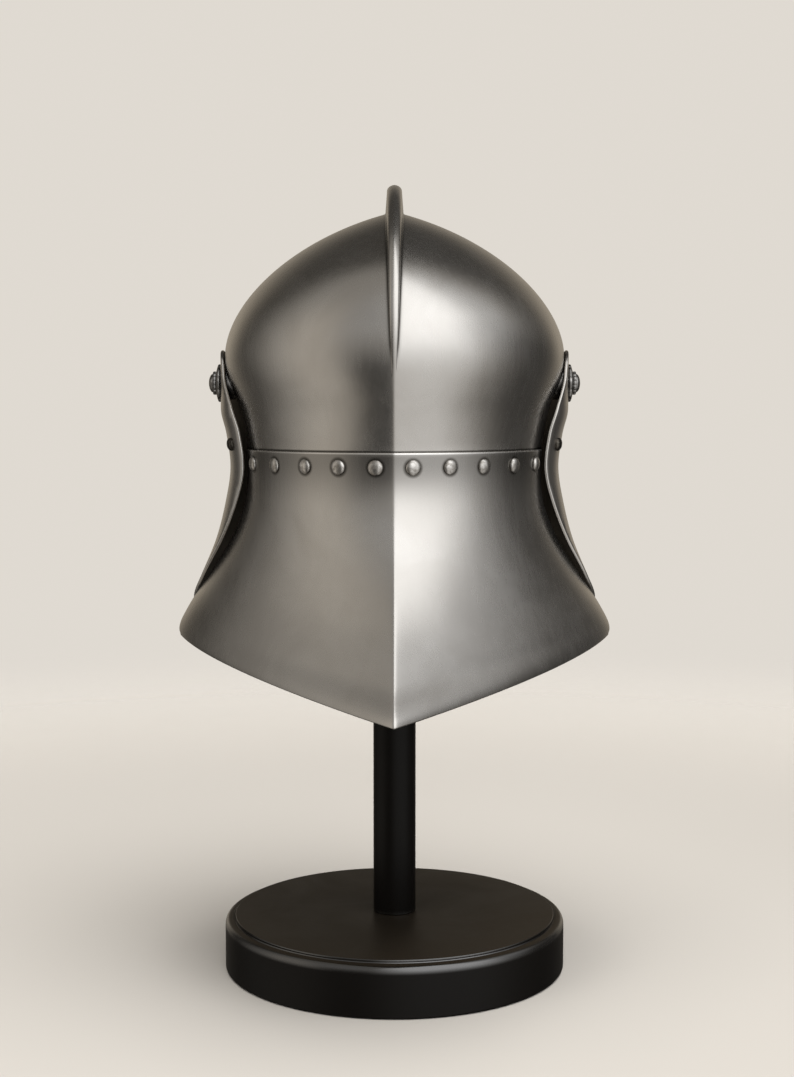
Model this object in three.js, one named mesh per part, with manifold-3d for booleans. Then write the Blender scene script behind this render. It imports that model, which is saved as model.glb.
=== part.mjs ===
// A visored sallet on a plain display stand, in millimetres, +Z up.
// The origin is the centre of the stand's underside. The wearer would face +Y, so the neck guard
// points to -Y. The helmet is three shells of steel plate: the combed skull, the tail riveted round
// its neck, and the visor, which turns on two bolts at the temples.

import * as THREE from 'three';
import { mergeVertices } from 'three/addons/utils/BufferGeometryUtils.js';
import Module from 'manifold-3d';

// Heights, each measured from the one before
const rimHeight = 215; // lower edge of the tail at its front corners, above the table
const tailHeight = 117.5; // from that edge up to the seam
const neckHeight = 57.5; // from the seam up to the widest level of the skull
const domeHeight = 91; // from the widest level up to the crown, comb left out
const pivotDrop = 16; // bolts below the widest level

// Skull
const skullWidth = 215.6;
const skullRear = 134; // from the temple plane back to the widest level's rearmost point
const skullFront = 108;
const templeForward = 12; // temple plane ahead of the pole
const plate = 2;
const roofShare = 0.4; // how far the crown rises to a roof instead of a round
const napeShare = 0.16; // the same for the back of the neck
const browShare = 0.12; // and for the forehead
const combWidth = 11.6;
const combHeight = 17;
const combRearEnd = -5; // degrees above the widest level, behind
const combFrontEnd = 42; // degrees above the widest level, in front
const overlap = 14.5; // how far the skull reaches down inside the tail
const browDrop = 27; // brow edge below the widest level
const cheekForward = 24; // front edge of the skull's sides, ahead of the temple plane
const cheekBack = 22; // where its lower edge steps up ahead of the tail, behind the temple plane
const cheekDrop = 4; // that lower edge below the seam
const cheekCorner = 16;

// Tail
const flareWidth = 281;
const tailReach = 197; // from the temple plane back to the tip
const tailDroop = 28; // tip below the corners
const tailCorner = 11;

// Visor
const visorClearance = 0.9; // between the widest part of the skull and the ears of the visor
const visorNeckWidth = 209.6;
const visorFlareWidth = 266;
const visorReach = 135;
const visorWrap = 65; // half depth of the plan curve behind the temple plane
const visorFullness = 2.5;
const earRadius = 21;
const wrapBack = 36; // furthest that the rear edge reaches behind the bolts
const sightGap = 8; // height of the sight between the brow edge and the visor
const sightEnd = 84; // where the visor's edge leaves the sight to rise over the brow, ahead of the bolts
const visorLift = 7; // lower edge of the visor above the corners of the tail

// Rivets and bolts
const seatGap = 0.3;
const rivetRadius = 4.6;
const rivetHeight = 2.6;
const visorRivetRadius = 4.2;
const visorRivetHeight = 2.8;
const shankRadius = 1.8;
const burrHeight = 1;
const rivetDrop = 8.5; // row of rivets below the seam
const visorRivetDrop = 38.5; // below the bolts
const boltRadius = 3;
const boltHeadRadius = 7.6;
const boltHeadHeight = 5;
const rosetteRadius = 12;
const rosetteThickness = 2.4;
const rosetteLobes = 8;
const spacerRadius = 10.5;
const nutRadius = 6;
const nutHeight = 2.2;

// Stand
const baseRadius = 109;
const baseHeight = 34;
const discRadius = 102.5;
const discStep = 1.6;
const shoulderRadius = 5;
const poleRadius = 13.6;
const spigotRadius = 8;
const spigotLength = 18;
const headRadius = 30;
const headHeight = 36;

// Colours
const steel = { color: 0x9a938a, roughness: 0.32, metalness: 1 };
const gunmetal = { color: 0x4b4a4a, roughness: 0.4, metalness: 1 };
const blackPaint = { color: 0x141313, roughness: 0.35, metalness: 0 };

// Girth of the neck as a share of the skull, at shares of the way down to the seam
const neckRows = [
  { down: 0, girth: 1 },
  { down: 0.28, girth: 0.957 },
  { down: 0.6, girth: 0.908 },
  { down: 1, girth: 0.872 },
  { down: 1.3, girth: 0.866 },
];

// Tail sections at shares of the way down its sides: how far each has gone from the neck to the flared edge,
// from the neck to the tip, from round to pointed, and from level to the full droop
const tailRows = [
  { down: 0.13, flare: 0, reach: 0, point: 0.16, droop: 0 },
  { down: 0.3, flare: 0.045, reach: 0.05, point: 0.24, droop: 0.1 },
  { down: 0.48, flare: 0.235, reach: 0.2, point: 0.42, droop: 0.28 },
  { down: 0.69, flare: 0.555, reach: 0.46, point: 0.68, droop: 0.56 },
  { down: 0.88, flare: 0.87, reach: 0.78, point: 0.9, droop: 0.82 },
  { down: 1, flare: 1, reach: 1, point: 1, droop: 1 },
];

// Visor sections at shares of the way down from the bolts to the tail's corners: how far each is from
// the neck width to the ears and to the flared edge, its forward reach, and how pointed its prow is
const visorRows = [
  { down: -0.16, ear: 1, flare: 0, reach: 0.86, point: 0.1 },
  { down: 0.1, ear: 1, flare: 0, reach: 0.885, point: 0.14 },
  { down: 0.2, ear: 0.42, flare: 0, reach: 0.915, point: 0.18 },
  { down: 0.33, ear: 0, flare: 0, reach: 0.965, point: 0.25 },
  { down: 0.46, ear: 0, flare: 0.1, reach: 0.995, point: 0.31 },
  { down: 0.62, ear: 0, flare: 0.33, reach: 1, point: 0.34 },
  { down: 0.77, ear: 0, flare: 0.68, reach: 0.985, point: 0.34 },
  { down: 0.87, ear: 0, flare: 0.92, reach: 0.965, point: 0.32 },
  { down: 1.02, ear: 0, flare: 1, reach: 0.94, point: 0.3 },
];

// Rear edge of the visor, from its ear to its lower corner, as shares of wrapBack and of the way down
// to the rim
const visorEdgeRows = [
  { back: 0.79, down: 0.045 },
  { back: 0.955, down: 0.12 },
  { back: 1, down: 0.25 },
  { back: 0.985, down: 0.37 },
  { back: 0.87, down: 0.5 },
  { back: 0.68, down: 0.62 },
  { back: 0.44, down: 0.715 },
  { back: 0.2, down: 0.785 },
  { back: -0.04, down: 0.84 },
  { back: -0.34, down: 0.89 },
];

// Front edge of the tail under the visor, as shares of wrapBack and of the height of the tail
const tailEdgeRows = [
  { back: 0.82, down: 0 },
  { back: 0.8, down: 0.2 },
  { back: 0.6, down: 0.42 },
  { back: 0.33, down: 0.6 },
  { back: 0.1, down: 0.74 },
  { back: 0.04, down: 0.88 },
];

// Rivets along the seam, each side, as shares of half the tail's width there
const rivetShares = [0.113, 0.34, 0.55, 0.75, 0.905];

const rivetFacets = 8;

// Rosette and bolt head outlines
const lobeDepth = 1.1;
const beadCount = 14;
const beadDepth = 0.5;

const seamZ = rimHeight + tailHeight;
const widestZ = seamZ + neckHeight;
const crownZ = widestZ + domeHeight;
const pivotZ = widestZ - pivotDrop;
const browZ = widestZ - browDrop;
const pivotToRim = pivotZ - rimHeight;
const halfWidth = skullWidth / 2;
const earX = halfWidth + visorClearance + plate;
const pointPower = 0.72; // sides of a pointed section, straight near the point and round at the ends
const reachPast = 400;

const wasm = await Module();
wasm.setup();

const sides = [
  { name: 'left', sign: -1 },
  { name: 'right', sign: 1 },
];

function degrees(angle) {
  return (angle * Math.PI) / 180;
}

// A smooth line through one column of a table, level at its ends and turning points
function follow(rows, place, column) {
  const at = rows.map((row) => row[place]);
  const value = rows.map((row) => row[column]);
  const last = rows.length - 1;
  const slope = rows.map((row, i) => {
    if (i === 0 || i === last || (value[i + 1] - value[i]) * (value[i] - value[i - 1]) <= 0) {
      return 0;
    }
    return (value[i + 1] - value[i - 1]) / (at[i + 1] - at[i - 1]);
  });
  return (where) => {
    const t = Math.min(Math.max(where, at[0]), at[last]);
    const i = Math.min(at.findLastIndex((edge) => edge <= t), last - 1);
    const span = at[i + 1] - at[i];
    const u = (t - at[i]) / span;
    const rest = 1 - u;
    return value[i] * rest * rest * (1 + 2 * u) + value[i + 1] * u * u * (3 - 2 * u)
      + span * u * rest * (slope[i] * rest - slope[i + 1] * u);
  };
}

// Depth of a plan section at a share of its half width, from a round one to a pointed one
function sectionDepth(share, point, fullness = 2) {
  const across = Math.min(Math.abs(share), 1);
  const round = (1 - across ** fullness) ** (1 / fullness);
  const pointed = (1 - across) ** pointPower;
  return (1 - point) * round + point * pointed;
}

// Angles across a form, from one temple to the other, close together at both ends
function anglesAcross(count) {
  return Array.from({ length: 2 * count + 1 }, (unused, i) => degrees((90 * (i - count)) / count));
}

// A closed solid from rows of points that run from the left temple to the right one. The rows go up the back,
// over, down the front and along the underside, so their ends meet in pairs at the temples.
function solidFromRows(rows) {
  const columns = rows[0].length;
  const positions = rows.flat().flatMap((point) => point.toArray());
  const faces = [];
  rows.forEach((row, r) => {
    const here = r * columns;
    const next = ((r + 1) % rows.length) * columns;
    for (let c = 0; c < columns - 1; c++) {
      if (2 * c < columns - 1) {
        faces.push(here + c, here + c + 1, next + c, here + c + 1, next + c + 1, next + c);
      } else {
        faces.push(here + c, here + c + 1, next + c + 1, here + c, next + c + 1, next + c);
      }
    }
  });
  const geometry = new THREE.BufferGeometry();
  geometry.setAttribute('position', new THREE.Float32BufferAttribute(positions, 3));
  geometry.setIndex(faces);
  return solid(geometry);
}

function solid(geometry) {
  const bare = geometry.clone();
  bare.deleteAttribute('normal');
  bare.deleteAttribute('uv');
  const merged = mergeVertices(bare, 1e-3);
  const index = merged.index.array;
  const kept = [];
  for (let i = 0; i < index.length; i += 3) {
    const [a, b, c] = index.slice(i, i + 3);
    if (a !== b && b !== c && c !== a) {
      kept.push(a, b, c);
    }
  }
  return new wasm.Manifold(new wasm.Mesh({
    numProp: 3,
    vertProperties: new Float32Array(merged.attributes.position.array),
    triVerts: new Uint32Array(kept),
  }));
}

function geometryOf(manifold) {
  const mesh = manifold.getMesh();
  const geometry = new THREE.BufferGeometry();
  geometry.setAttribute('position', new THREE.BufferAttribute(mesh.vertProperties, mesh.numProp));
  geometry.setIndex(new THREE.BufferAttribute(mesh.triVerts, 1));
  geometry.computeVertexNormals();
  return geometry;
}

// A side view outline, drawn as distance ahead of the temple plane and height, run right across the helmet
function acrossHelmet(shape, curveSegments = 8) {
  const settings = { depth: 2 * reachPast, bevelEnabled: false, curveSegments };
  const geometry = new THREE.ExtrudeGeometry(shape, settings);
  const ahead = new THREE.Vector3(0, 1, 0);
  const up = new THREE.Vector3(0, 0, 1);
  const right = new THREE.Vector3(1, 0, 0);
  geometry.applyMatrix4(new THREE.Matrix4().makeBasis(ahead, up, right));
  geometry.translate(-reachPast, templeForward, 0);
  return solid(geometry);
}

// A round bar along X at the bolts, between two distances from the middle of the helmet
function boltBar(radius, from, to, sign, segments = 16) {
  const geometry = new THREE.CylinderGeometry(radius, radius, to - from, segments);
  geometry.rotateZ(Math.PI / 2);
  geometry.translate((sign * (from + to)) / 2, templeForward, pivotZ);
  return solid(geometry);
}

const neckGirth = follow(neckRows, 'down', 'girth');

function neckShare(z) {
  return neckGirth((widestZ - z) / neckHeight);
}

// Height and width of the comb as shares of the full ones, at an angle up from the rear
function combShare(angle) {
  const fromRear = (angle - combRearEnd) / (90 - combRearEnd);
  const fromFront = (180 - combFrontEnd - angle) / (90 - combFrontEnd);
  const along = Math.min(Math.max(Math.min(fromRear, fromFront), 0), 1);
  return { height: 1 - (1 - along) ** 1.7, width: along ** 0.36 };
}

// Half of the comb's cross section, from its crest to its foot, thinned by an inset on each side
function combOutline(inset) {
  const half = combWidth / 2 - inset;
  return [
    { x: 0, drop: 0 },
    { x: 0.5 * half, drop: 0.16 * half },
    { x: 0.78 * half, drop: 0.52 * half },
    { x: 0.86 * half, drop: half },
    { x: half, drop: combHeight },
  ];
}

// The skull as a full solid, grown outwards by a margin, with the comb thinned by as much as the plate below
// it when the margin is negative
function skullSolid(margin, lowest) {
  const wide = halfWidth + margin;
  const outline = combOutline(-margin);
  const footAngle = Math.asin(outline.at(-1).x / wide);
  const rest = 9;
  const half = [
    ...outline,
    ...Array.from({ length: rest }, (unused, i) => {
      const angle = footAngle + ((Math.PI / 2 - footAngle) * (i + 1)) / rest;
      return { x: wide * Math.sin(angle), drop: combHeight };
    }),
  ];
  const columns = [...half.slice(1).reverse().map((column) => ({ ...column, x: -column.x })), ...half];
  const row = (angle, z) => {
    const comb = combShare(angle);
    const low = z !== undefined;
    const girth = low ? neckShare(z) : 1;
    const turn = degrees(angle);
    const front = angle > 90;
    const depth = (front ? skullFront : skullRear) + margin;
    const lift = Math.sin(turn) ** 2;
    const sidePoint = front ? browShare : napeShare;
    const point = low ? sidePoint : sidePoint + (roofShare - sidePoint) * lift;
    return columns.map((column) => {
      const nearComb = Math.abs(column.x) <= outline.at(-1).x;
      const x = nearComb ? column.x * comb.width : column.x;
      const scale = sectionDepth(x / wide, point);
      const rise = (combHeight - column.drop) * comb.height;
      const ahead = (depth * scale * girth + (low ? 0 : rise)) * -Math.cos(turn);
      const up = low ? z : widestZ + ((domeHeight + margin) * scale + rise) * Math.sin(turn);
      const narrow = low ? (wide * girth - (1 - girth) * margin) / wide : 1;
      return new THREE.Vector3(x * narrow, templeForward + ahead, up);
    });
  };
  const lowRows = 4;
  const heights = Array.from({ length: lowRows }, (unused, i) => lowest + ((widestZ - lowest) * i) / lowRows);
  const domeRows = 15;
  const dome = Array.from({ length: domeRows + 1 }, (unused, i) => row((180 * i) / domeRows));
  return solidFromRows([
    ...heights.map((z) => row(0, z)),
    ...dome,
    ...heights.toReversed().map((z) => row(180, z)),
  ]);
}

// The side view of what the face opening takes away from the skull
function faceOpening() {
  const shape = new THREE.Shape();
  const cheekZ = seamZ - cheekDrop;
  shape.moveTo(reachPast, browZ);
  shape.lineTo(cheekForward + cheekCorner, browZ);
  shape.quadraticCurveTo(cheekForward, browZ, cheekForward, browZ - cheekCorner);
  shape.quadraticCurveTo(cheekForward, cheekZ, cheekForward - cheekCorner, cheekZ);
  shape.lineTo(-cheekBack, cheekZ);
  shape.lineTo(-cheekBack, 0);
  shape.lineTo(reachPast, 0);
  shape.closePath();
  return acrossHelmet(shape);
}

const neckHalf = halfWidth * neckShare(seamZ) + seatGap + plate;
const neckRear = skullRear * neckShare(seamZ) + seatGap + plate;
const tailFlare = follow(tailRows, 'down', 'flare');
const tailReachShare = follow(tailRows, 'down', 'reach');
const tailPoint = follow(tailRows, 'down', 'point');
const tailDroopShare = follow(tailRows, 'down', 'droop');

// A point of the tail's outside, at a share of its half width and a share of the way down its sides
function tailPlace(share, down, margin) {
  const girth = neckShare(seamZ - down * tailHeight) / neckShare(seamZ);
  const wide = neckHalf * girth + (flareWidth / 2 - neckHalf) * tailFlare(down) + margin;
  const deep = neckRear * girth + (tailReach - neckRear) * tailReachShare(down) + margin;
  const depth = sectionDepth(share, tailPoint(down));
  return new THREE.Vector3(
    wide * share,
    templeForward - deep * depth,
    seamZ - down * tailHeight - tailDroop * tailDroopShare(down) * depth,
  );
}

function tailSolid(margin, past) {
  const angles = anglesAcross(10);
  const levels = [-past, 0.065, 0.13, 0.3, 0.42, 0.54, 0.66, 0.78, 0.89, 1 + past].toReversed();
  const back = levels.map((down) => angles.map((angle) => {
    const place = tailPlace(Math.sin(angle), Math.min(Math.max(down, 0), 1), margin);
    place.z -= (down - Math.min(Math.max(down, 0), 1)) * tailHeight;
    return place;
  }));
  const front = back.toReversed().map((row) => row.map((place, i) => {
    const edge = i < row.length / 2 ? row[0] : row.at(-1);
    return new THREE.Vector3(place.x, templeForward, edge.z);
  }));
  return solidFromRows([...back, ...front]);
}

// The side view that the tail is cut to at its front edge
function tailOutline() {
  const shape = new THREE.Shape();
  const onEdge = (row) => new THREE.Vector2(-row.back * wrapBack, seamZ - row.down * tailHeight);
  const spots = tailEdgeRows.map(onEdge);
  shape.moveTo(spots[0].x, seamZ + plate);
  shape.lineTo(spots[0].x, spots[0].y);
  shape.splineThru(spots.slice(1));
  const corner = spots.at(-1);
  shape.quadraticCurveTo(corner.x, rimHeight, corner.x - tailCorner, rimHeight - 1);
  shape.lineTo(corner.x - tailCorner, rimHeight - tailDroop - 2 * plate);
  shape.lineTo(-reachPast, rimHeight - tailDroop - 2 * plate);
  shape.lineTo(-reachPast, seamZ + plate);
  shape.closePath();
  return acrossHelmet(shape, 6);
}

const visorEar = follow(visorRows, 'down', 'ear');
const visorFlare = follow(visorRows, 'down', 'flare');
const visorReachShare = follow(visorRows, 'down', 'reach');
const visorPoint = follow(visorRows, 'down', 'point');

// A point of the visor's outside at a share of its half width, ahead of the temple plane or behind it
function visorPlace(share, z, ahead, margin) {
  const down = (pivotZ - z) / pivotToRim;
  const neck = visorNeckWidth / 2;
  const flared = (visorFlareWidth / 2 - neck) * visorFlare(down);
  const wide = neck + (earX - neck) * visorEar(down) + flared + margin;
  const y = ahead
    ? (visorReach * visorReachShare(down) + margin) * sectionDepth(share, visorPoint(down), visorFullness)
    : -(visorWrap + margin) * sectionDepth(share, 0, visorFullness);
  return new THREE.Vector3(wide * share, templeForward + y, z);
}

function visorSolid(margin, past) {
  const angles = anglesAcross(11);
  const steps = 11;
  const low = rimHeight - past;
  const high = pivotZ + earRadius + past;
  const levels = Array.from({ length: steps + 1 }, (unused, i) => low + ((high - low) * i) / steps);
  return solidFromRows([
    ...levels.map((z) => angles.map((angle) => visorPlace(Math.sin(angle), z, false, margin))),
    ...levels.toReversed().map((z) => angles.map((angle) => visorPlace(Math.sin(angle), z, true, margin))),
  ]);
}

// The side view of the visor: its rear edge, the ear round the bolt, the sight edge and the lower edge
function visorOutline() {
  const shape = new THREE.Shape();
  const onEdge = (row) => new THREE.Vector2(-row.back * wrapBack, pivotZ - row.down * pivotToRim);
  const edge = visorEdgeRows.map(onEdge);
  const sightZ = browZ - sightGap;
  const lowZ = rimHeight + visorLift;
  const armStart = degrees(60);
  const armRun = 1.4 * earRadius;
  const armX = earRadius * Math.cos(armStart);
  const armZ = pivotZ + earRadius * Math.sin(armStart);
  const slopeX = armX + armRun * Math.sin(armStart);
  const slopeZ = armZ - armRun * Math.cos(armStart);
  shape.moveTo(reachPast, sightZ);
  shape.lineTo(sightEnd, sightZ);
  shape.bezierCurveTo(0.72 * sightEnd, sightZ, slopeX, slopeZ, armX, armZ);
  shape.absarc(0, pivotZ, earRadius, armStart, degrees(172), false);
  shape.splineThru(edge);
  const corner = edge.at(-1);
  shape.quadraticCurveTo(corner.x + 0.3 * wrapBack, lowZ, corner.x + wrapBack, lowZ);
  shape.lineTo(reachPast, lowZ);
  shape.closePath();
  return acrossHelmet(shape, 7);
}

// A profile of [radius, height] turned about Z
function lathed(profile, segments) {
  const points = profile.map(([x, y]) => new THREE.Vector2(x, y));
  return new THREE.LatheGeometry(points, segments).rotateX(Math.PI / 2);
}

// A dome head outside the plates, a shank through them and a burr inside, along +Z from the outer face
function rivetGeometry(radius, height, grip) {
  const inside = -grip - 2 * seatGap;
  const profile = [
    [0, inside - burrHeight],
    [2 * shankRadius, inside - burrHeight],
    [2 * shankRadius, inside],
    [shankRadius, inside],
    [shankRadius, 0],
    [radius, 0],
    [0.88 * radius, 0.5 * height],
    [0.52 * radius, 0.87 * height],
    [0, height],
  ];
  return lathed(profile, rivetFacets);
}

// The place and outward direction of a fastener on a surface given by two numbers
function seatOn(surface, a, b, sign) {
  const step = 1e-3;
  const place = surface(a, b);
  const alongA = surface(a + step, b).sub(place);
  const alongB = surface(a, b + step).sub(place);
  const outward = alongA.cross(alongB).normalize();
  if (outward.x * sign < 0) {
    outward.negate();
  }
  return { place, outward };
}

function facing(outward) {
  return new THREE.Quaternion().setFromUnitVectors(new THREE.Vector3(0, 0, 1), outward);
}

function drill({ place, outward }, deep) {
  const bore = shankRadius + seatGap;
  const geometry = new THREE.CylinderGeometry(bore, bore, 2 * deep, rivetFacets);
  geometry.rotateX(Math.PI / 2);
  geometry.applyQuaternion(facing(outward));
  geometry.translate(place.x, place.y, place.z);
  return solid(geometry);
}

const tailRivets = sides.flatMap(({ name, sign }) => rivetShares.map((share, i) => ({
  name: `tail_rivet_${name}_${i + 1}`,
  seat: seatOn((a, b) => tailPlace(a, b, 0), sign * share, rivetDrop / tailHeight, sign),
})));

const visorRivetBack = 0.68 * wrapBack;
const visorRivets = sides.map(({ name, sign }) => {
  const share = (1 - (visorRivetBack / visorWrap) ** visorFullness) ** (1 / visorFullness);
  const surface = (a, z) => visorPlace(a, z, false, 0);
  return { name: `visor_rivet_${name}`, seat: seatOn(surface, sign * share, pivotZ - visorRivetDrop, sign) };
});

const drillDepth = 2 * plate + 3 * seatGap + burrHeight + 2;
const boltHole = boltRadius + seatGap;
const skullAtBolt = halfWidth * neckShare(pivotZ);

function makeSkull() {
  const lowest = seamZ - overlap;
  const outer = skullSolid(0, lowest);
  const inner = skullSolid(-plate, lowest - plate);
  let shell = outer.subtract(inner).subtract(faceOpening());
  for (const { seat } of tailRivets) {
    shell = shell.subtract(drill(seat, drillDepth));
  }
  for (const { sign } of sides) {
    shell = shell.subtract(boltBar(boltHole, skullAtBolt - 3 * nutRadius, skullAtBolt + nutRadius, sign));
  }
  return geometryOf(shell);
}

function makeTail() {
  const grownSkull = skullSolid(seatGap, seamZ - overlap - seatGap);
  let shell = tailSolid(0, 0).subtract(tailSolid(-plate, 0.03)).intersect(tailOutline()).subtract(grownSkull);
  for (const { seat } of tailRivets) {
    shell = shell.subtract(drill(seat, drillDepth));
  }
  return geometryOf(shell);
}

function makeVisor() {
  let shell = visorSolid(0, plate).subtract(visorSolid(-plate, 2 * plate)).intersect(visorOutline());
  for (const { seat } of visorRivets) {
    shell = shell.subtract(drill(seat, drillDepth));
  }
  for (const { sign } of sides) {
    shell = shell.subtract(boltBar(boltHole, earX - 3 * plate, earX + plate, sign));
  }
  return geometryOf(shell);
}

// The washer between the skull and the ear, cut to the slope of the skull. Its flat face clears the curve of
// the ear as the visor turns.
function makeSpacer(sign) {
  const earCurve = earX * (1 - (1 - (spacerRadius / visorWrap) ** visorFullness) ** (1 / visorFullness));
  const outerFace = earX - plate - seatGap - 1.5 * earCurve;
  const grownSkull = skullSolid(seatGap, seamZ - overlap);
  const ring = boltBar(spacerRadius, skullAtBolt - spacerRadius, outerFace, sign, 20)
    .subtract(boltBar(boltHole, skullAtBolt - 2 * spacerRadius, outerFace + plate, sign));
  return geometryOf(ring.subtract(grownSkull));
}

// A scalloped outline, as a shape with a round hole
function lobedShape(radius, lobes, depth, stepsPerLobe, hole) {
  const shape = new THREE.Shape();
  const steps = stepsPerLobe * lobes;
  for (let i = 0; i < steps; i++) {
    const angle = (2 * Math.PI * i) / steps;
    const reach = radius - (depth * (1 - Math.cos(lobes * angle))) / 2;
    const x = reach * Math.cos(angle);
    const y = reach * Math.sin(angle);
    if (i === 0) {
      shape.moveTo(x, y);
    } else {
      shape.lineTo(x, y);
    }
  }
  shape.closePath();
  if (hole) {
    const round = new THREE.Path();
    round.absarc(0, 0, hole, 0, 2 * Math.PI, true);
    shape.holes.push(round);
  }
  return shape;
}

// Turns a piece built along +Z from 0 to point outwards at a bolt, from a distance off the middle
function atBolt(geometry, from, sign) {
  geometry.rotateY((sign * Math.PI) / 2);
  geometry.translate(sign * from, templeForward, pivotZ);
  return geometry;
}

const rosetteFace = earX + seatGap;
const boltFace = rosetteFace + rosetteThickness + seatGap;

function makeRosette(sign) {
  const shape = lobedShape(rosetteRadius, rosetteLobes, lobeDepth, 4, boltHole);
  const settings = { depth: rosetteThickness, bevelEnabled: false, curveSegments: 6 };
  return atBolt(new THREE.ExtrudeGeometry(shape, settings), rosetteFace, sign);
}

// Domed head with a beaded rim, shank through the stack, and a plain nut inside the skull
function makeBolt(sign) {
  const rimThickness = 0.4 * boltHeadHeight;
  const rimSettings = { depth: rimThickness, bevelEnabled: false };
  const rim = new THREE.ExtrudeGeometry(lobedShape(boltHeadRadius, beadCount, beadDepth, 2), rimSettings);
  const nutFace = skullAtBolt - plate - 3 * plate;
  const profile = [
    [0, nutFace - nutHeight - boltFace],
    [nutRadius, nutFace - nutHeight - boltFace],
    [nutRadius, nutFace - boltFace],
    [boltRadius, nutFace - boltFace],
    [boltRadius, 0.5 * rimThickness],
    [0.9 * boltHeadRadius, 0.5 * rimThickness],
    [0.86 * boltHeadRadius, rimThickness],
    [0.7 * boltHeadRadius, 0.76 * boltHeadHeight],
    [0.38 * boltHeadRadius, 0.95 * boltHeadHeight],
    [0, boltHeadHeight],
  ];
  const turned = lathed(profile, 16);
  return geometryOf(solid(atBolt(rim, boltFace, sign)).add(solid(atBolt(turned, boltFace, sign))));
}

function makeBase() {
  const socket = spigotRadius + seatGap;
  const floor = baseHeight - spigotLength - seatGap;
  const stepZ = baseHeight - discStep;
  const shoulder = Array.from({ length: 4 }, (unused, i) => {
    const angle = degrees((90 * i) / 3);
    const x = baseRadius - shoulderRadius * (1 - Math.cos(angle));
    return [x, stepZ - shoulderRadius * (1 - Math.sin(angle))];
  });
  const profile = [
    [0, 0],
    [baseRadius - 1, 0],
    [baseRadius, 1],
    ...shoulder,
    [discRadius, stepZ],
    [discRadius, baseHeight - 0.5],
    [discRadius - 0.5, baseHeight],
    [socket, baseHeight],
    [socket, floor],
    [0, floor],
  ];
  return lathed(profile, 40);
}

// The pole, its spigot in the base and a plain round head that follows the inside of the crown
function makePole() {
  const headTop = crownZ - plate - seatGap;
  const headBottom = headTop - headHeight;
  const profile = [
    [0, baseHeight - spigotLength],
    [spigotRadius, baseHeight - spigotLength],
    [spigotRadius, baseHeight + seatGap],
    [poleRadius, baseHeight + seatGap],
    [poleRadius, headBottom],
    [headRadius, headBottom + 0.25 * headHeight],
    [headRadius, headTop],
    [0, headTop],
  ];
  const pole = solid(lathed(profile, 24));
  const room = skullSolid(-plate - seatGap, seamZ);
  const below = new THREE.BoxGeometry(4 * headRadius, 4 * headRadius, headBottom);
  below.translate(0, 0, headBottom / 2);
  return geometryOf(pole.intersect(room.add(solid(below))));
}

const sallet = new THREE.Group();

function addPiece(name, geometry, finish) {
  const mesh = new THREE.Mesh(geometry, new THREE.MeshStandardMaterial(finish));
  mesh.name = name;
  sallet.add(mesh);
  return mesh;
}

function addRivet(name, { place, outward }, radius, height, grip) {
  const mesh = addPiece(name, rivetGeometry(radius, height, grip), steel);
  mesh.position.copy(place).addScaledVector(outward, seatGap);
  mesh.quaternion.copy(facing(outward));
}

addPiece('skull', makeSkull(), steel);
addPiece('tail_plate', makeTail(), steel);
addPiece('visor_plate', makeVisor(), steel);
for (const { name, seat } of tailRivets) {
  addRivet(name, seat, rivetRadius, rivetHeight, 2 * plate + 2 * seatGap);
}
for (const { name, seat } of visorRivets) {
  addRivet(name, seat, visorRivetRadius, visorRivetHeight, plate);
}
for (const { name, sign } of sides) {
  addPiece(`pivot_spacer_${name}`, makeSpacer(sign), gunmetal);
  addPiece(`pivot_rosette_${name}`, makeRosette(sign), gunmetal);
  addPiece(`pivot_bolt_${name}`, makeBolt(sign), gunmetal);
}
addPiece('stand_base', makeBase(), blackPaint);
addPiece('stand_pole', makePole(), blackPaint);

export default sallet;
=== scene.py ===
import math
import random

import bpy
import numpy as np
from mathutils import Matrix, Vector, noise


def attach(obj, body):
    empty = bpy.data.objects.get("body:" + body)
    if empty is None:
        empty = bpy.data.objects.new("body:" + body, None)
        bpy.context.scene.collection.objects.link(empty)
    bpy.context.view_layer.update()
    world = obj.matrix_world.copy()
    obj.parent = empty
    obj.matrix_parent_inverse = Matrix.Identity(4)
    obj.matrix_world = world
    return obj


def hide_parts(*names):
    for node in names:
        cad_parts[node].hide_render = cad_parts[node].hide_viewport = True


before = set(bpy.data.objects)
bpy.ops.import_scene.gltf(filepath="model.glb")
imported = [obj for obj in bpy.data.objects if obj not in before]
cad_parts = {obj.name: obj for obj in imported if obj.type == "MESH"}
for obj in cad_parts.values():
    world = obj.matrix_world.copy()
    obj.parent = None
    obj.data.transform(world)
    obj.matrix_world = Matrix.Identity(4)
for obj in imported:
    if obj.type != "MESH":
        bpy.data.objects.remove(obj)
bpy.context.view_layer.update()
scene = bpy.context.scene
mm = 0.001


# Camera, where the photo was taken: behind the helmet, at its own height, looking slightly down
cameraInfo = {
    "lens": 57.96,
    "place": (1.59, -1102.0, 360.0),
    "tiltDown": 4.4,
}


def makeCamera(info):
    data = bpy.data.cameras.new("camera")
    data.lens = info["lens"]
    data.sensor_width = 36
    data.clip_start = 0.01
    data.clip_end = 100
    camera = bpy.data.objects.new("camera", data)
    camera.location = [value * mm for value in info["place"]]
    camera.rotation_euler = (math.radians(90 - info["tiltDown"]), 0, 0)
    scene.collection.objects.link(camera)
    scene.camera = camera


makeCamera(cameraInfo)
print("camera placed")


# Shader maths written as sums

def operator(operation, swapped=False):
    def work(value, other):
        first, second = (other, value) if swapped else (value, other)
        return value.maths(operation, first, second)

    return work


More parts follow.
